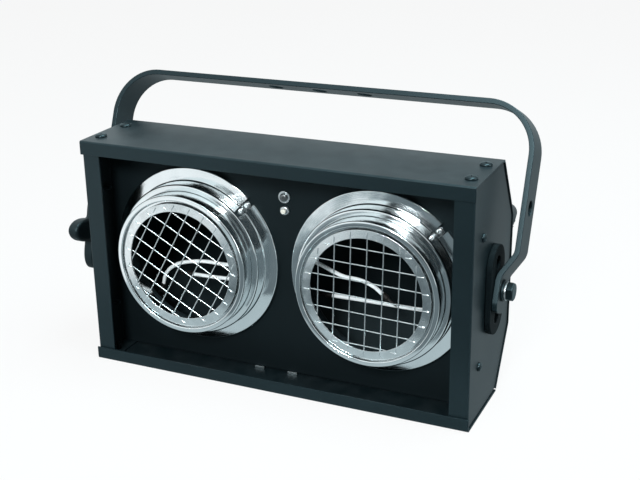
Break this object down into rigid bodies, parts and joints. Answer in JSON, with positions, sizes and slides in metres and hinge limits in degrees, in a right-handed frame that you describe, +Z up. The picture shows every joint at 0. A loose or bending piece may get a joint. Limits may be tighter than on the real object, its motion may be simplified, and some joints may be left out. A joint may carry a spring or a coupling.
{
  "type": "audience blinder light",
  "caption": "Low box-shaped stage light with two stepped chrome lamp bezels and wire guards side by side, black sheet steel housing, tilting flat-bar yoke with a clamp knob.",
  "frame": {"origin": "centre of the underside of the housing, on the plane it stands on", "axes": "X across the front to the right, Y from the lamp side to the back, Z up"},
  "size_m": [0.441, 0.1583, 0.2663],
  "materials": {
    "satin_black": "satin black powder coat",
    "matt_black": "matt black paint",
    "chrome": "polished",
    "zinc": "bright zinc plate",
    "black_plastic": "moulded, slightly grained",
    "white_sleeve": "heat-proof sleeve",
    "ceramic": "unglazed"
  },
  "bodies": {
    "housing": {"left_side_plate": "satin_black", "left_side_screw_1": "satin_black", "left_side_screw_2": "satin_black", "right_side_plate": "satin_black", "right_side_screw_1": "satin_black", "right_side_screw_2": "satin_black", "top_cover": "satin_black", "bottom_cover": "satin_black", "back_cover": "satin_black", "lamp_panel": "matt_black", "top_screw_1": "satin_black", "top_screw_2": "satin_black", "top_screw_3": "satin_black", "top_screw_4": "satin_black", "bottom_screw_1": "satin_black", "bottom_screw_2": "satin_black", "bottom_screw_3": "satin_black", "bottom_screw_4": "satin_black", "back_screw_1": "satin_black", "back_screw_2": "satin_black", "back_screw_3": "satin_black", "back_screw_4": "satin_black", "panel_washer": "zinc", "panel_screw": "satin_black", "earth_screw": "zinc", "left_outer_bezel": "chrome", "left_lamp_cup": "chrome", "left_wire_guard": "chrome", "left_lamp_clip": "zinc", "left_bezel_screw_1": "zinc", "left_bezel_screw_2": "zinc", "right_outer_bezel": "chrome", "right_lamp_cup": "chrome", "right_wire_guard": "chrome", "right_lamp_clip": "zinc", "right_bezel_screw_1": "zinc", "right_bezel_screw_2": "zinc", "left_pivot_plate": "satin_black", "left_pivot_nut": "zinc", "left_pivot_washer": "satin_black", "right_pivot_plate": "satin_black", "right_pivot_nut": "zinc", "right_pivot_washer": "satin_black", "bolt_washer": "zinc", "pivot_bolt": "satin_black", "gland_body": "black_plastic", "gland_nut": "black_plastic", "gland_lock_nut": "black_plastic", "terminal_block": "ceramic", "left_lead_front": "white_sleeve", "left_lead_front_lug": "zinc", "left_lead_back": "white_sleeve", "left_lead_back_lug": "zinc", "right_lead_front": "white_sleeve", "right_lead_front_lug": "zinc", "right_lead_back": "white_sleeve", "right_lead_back_lug": "zinc"},
    "yoke": {"yoke": "satin_black"},
    "clamp_knob": {"clamp_knob": "black_plastic", "knob_stud": "zinc"}
  },
  "joints": [
    {"name": "yoke_tilt", "type": "hinge", "parent": "housing", "child": "yoke", "pos_m": [0, 0.0175, 0.1105], "axis": [1, 0, 0], "range_deg": [-157.7, 202.3]},
    {"name": "clamp_knob_turn", "type": "hinge", "parent": "housing", "child": "clamp_knob", "pos_m": [0, 0.0175, 0.1105], "axis": [-1, 0, 0], "range_deg": [0, 360]}
  ]
}
